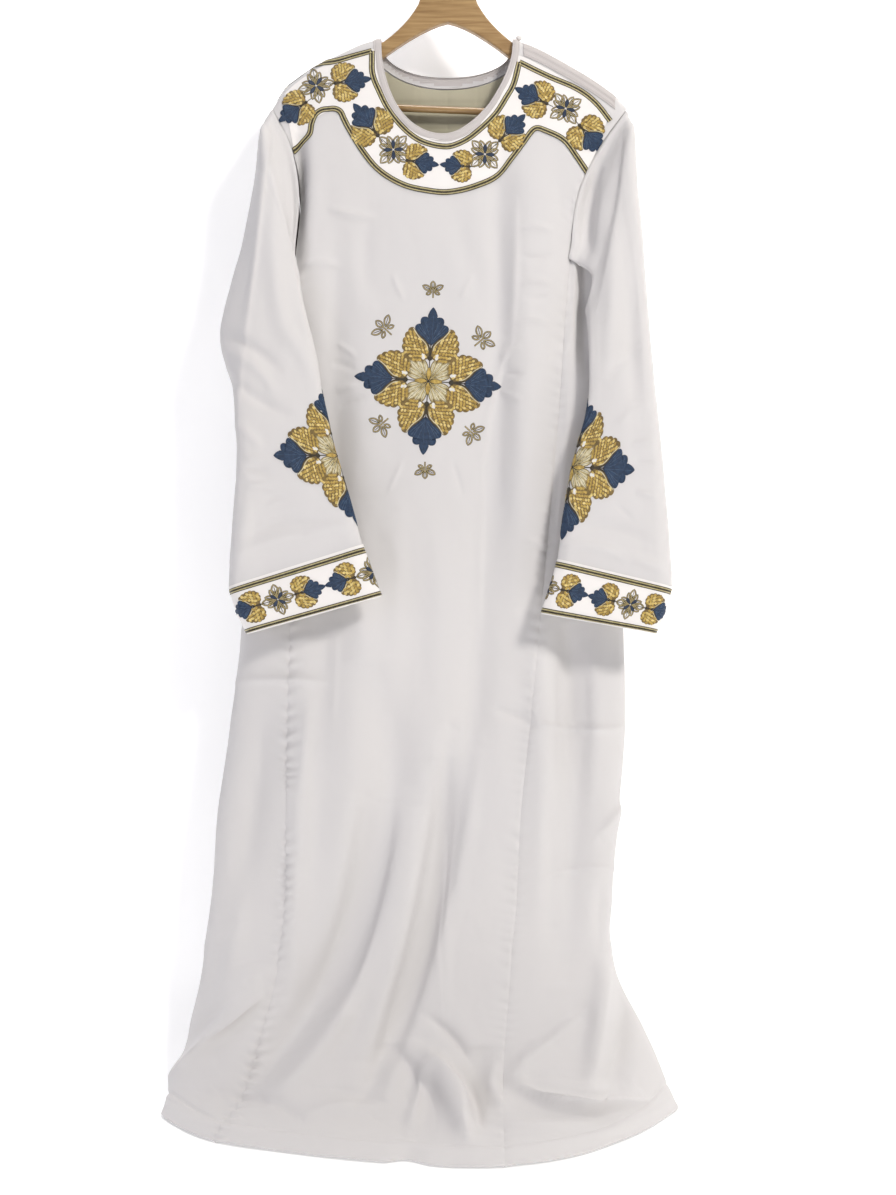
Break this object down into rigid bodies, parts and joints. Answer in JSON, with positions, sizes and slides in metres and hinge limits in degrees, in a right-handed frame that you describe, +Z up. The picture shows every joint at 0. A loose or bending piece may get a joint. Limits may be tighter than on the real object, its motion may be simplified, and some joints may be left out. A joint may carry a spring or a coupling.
{
  "type": "deacon tunic on a clothes hanger",
  "caption": "Long white A-line robe with long sleeves, embroidered yoke, cuffs and crosses, hanging on a wooden hanger with its hem lying forward on the floor.",
  "frame": {"origin": "inner top of the hanger's hook, where a rod or wall hook carries it", "axes": "+Z up, the front faces -Y, +X is to the right of someone who looks at the front"},
  "size_m": [0.6396, 0.3089, 1.5011],
  "materials": {
    "cloth_white": "matt woven cloth with a faint sheen",
    "band_white": "smooth bright white woven band",
    "facing_beige": "matt beige lining cloth",
    "thread_gold": "satin embroidery thread",
    "thread_blue": "satin embroidery thread",
    "thread_dark": "satin embroidery thread",
    "wood": "clear lacquered pale wood",
    "hook_steel": "bright plated wire"
  },
  "bodies": {
    "root": {"front_panel": "cloth_white", "back_panel": "cloth_white", "side_panel_left": "cloth_white", "side_panel_right": "cloth_white", "sleeve_left": "cloth_white", "sleeve_right": "cloth_white", "cuff_left": "band_white", "cuff_right": "band_white", "yoke": "band_white", "neck_binding": "band_white", "shoulder_placket": "band_white", "placket_button": "band_white", "back_facing": "facing_beige", "hanger_body": "wood", "hanger_bar": "wood", "hanger_hook": "hook_steel"}
  },
  "joints": []
}
